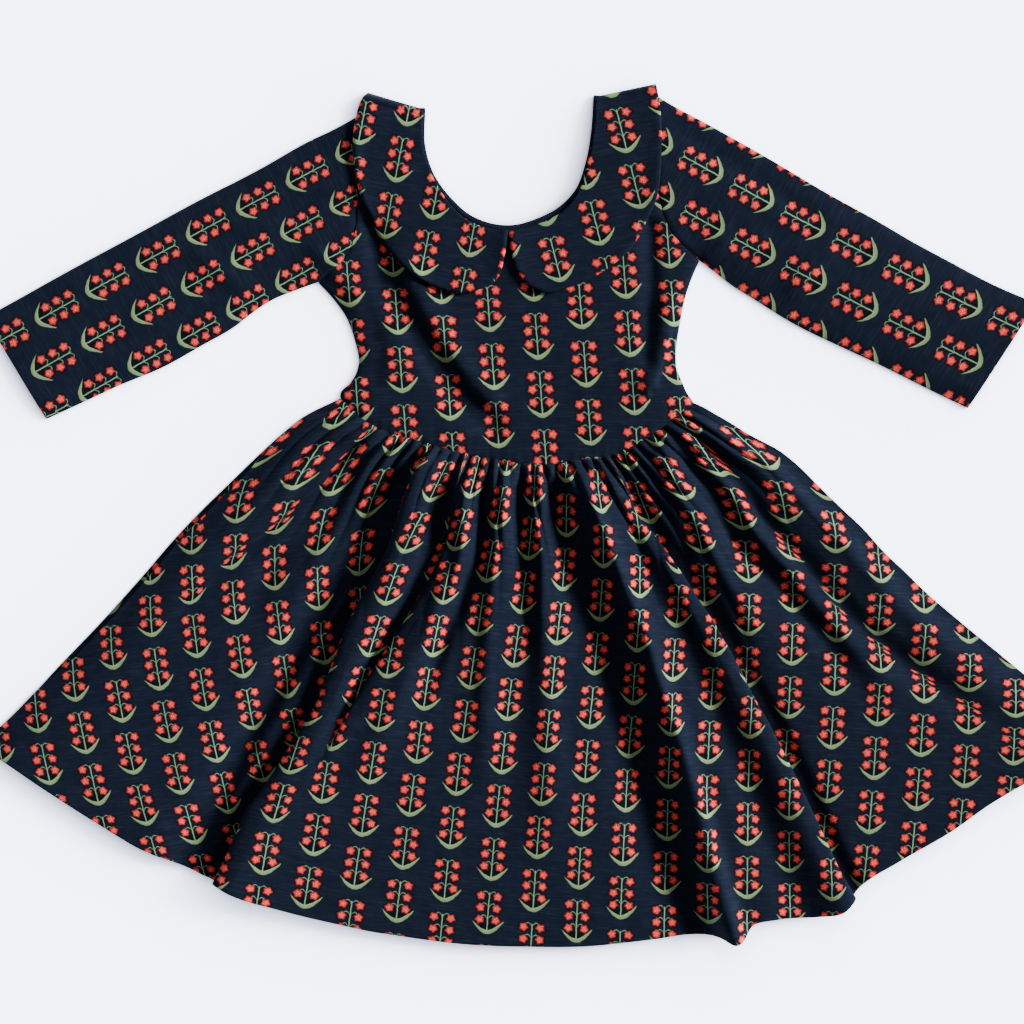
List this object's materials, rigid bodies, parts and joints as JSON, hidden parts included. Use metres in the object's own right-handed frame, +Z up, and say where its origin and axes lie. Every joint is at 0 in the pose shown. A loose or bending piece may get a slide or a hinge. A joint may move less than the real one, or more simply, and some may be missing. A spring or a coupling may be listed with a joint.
{
  "type": "child's twirl dress",
  "caption": "Child's long-sleeved twirl dress laid flat, with a split round collar, a fitted bodice and a gathered full skirt in printed jersey.",
  "frame": {"origin": "on the surface that the dress lies on, below the middle of its bounding box", "axes": "+Z up from the surface, +Y from the hem to the neck, +X to the right as seen from above, which is the wearer's left"},
  "size_m": [0.8832, 0.6762, 0.0213],
  "materials": {
    "printed_jersey": "soft matt cotton jersey, navy with small coral flower sprigs",
    "navy_jersey": "soft matt navy jersey binding"
  },
  "bodies": {
    "root": {"bodice_front": "printed_jersey", "bodice_back": "printed_jersey", "sleeve_left": "printed_jersey", "sleeve_right": "printed_jersey", "collar_left": "printed_jersey", "collar_right": "printed_jersey", "neck_binding": "navy_jersey", "skirt_front": "printed_jersey", "skirt_back": "printed_jersey"}
  },
  "joints": []
}
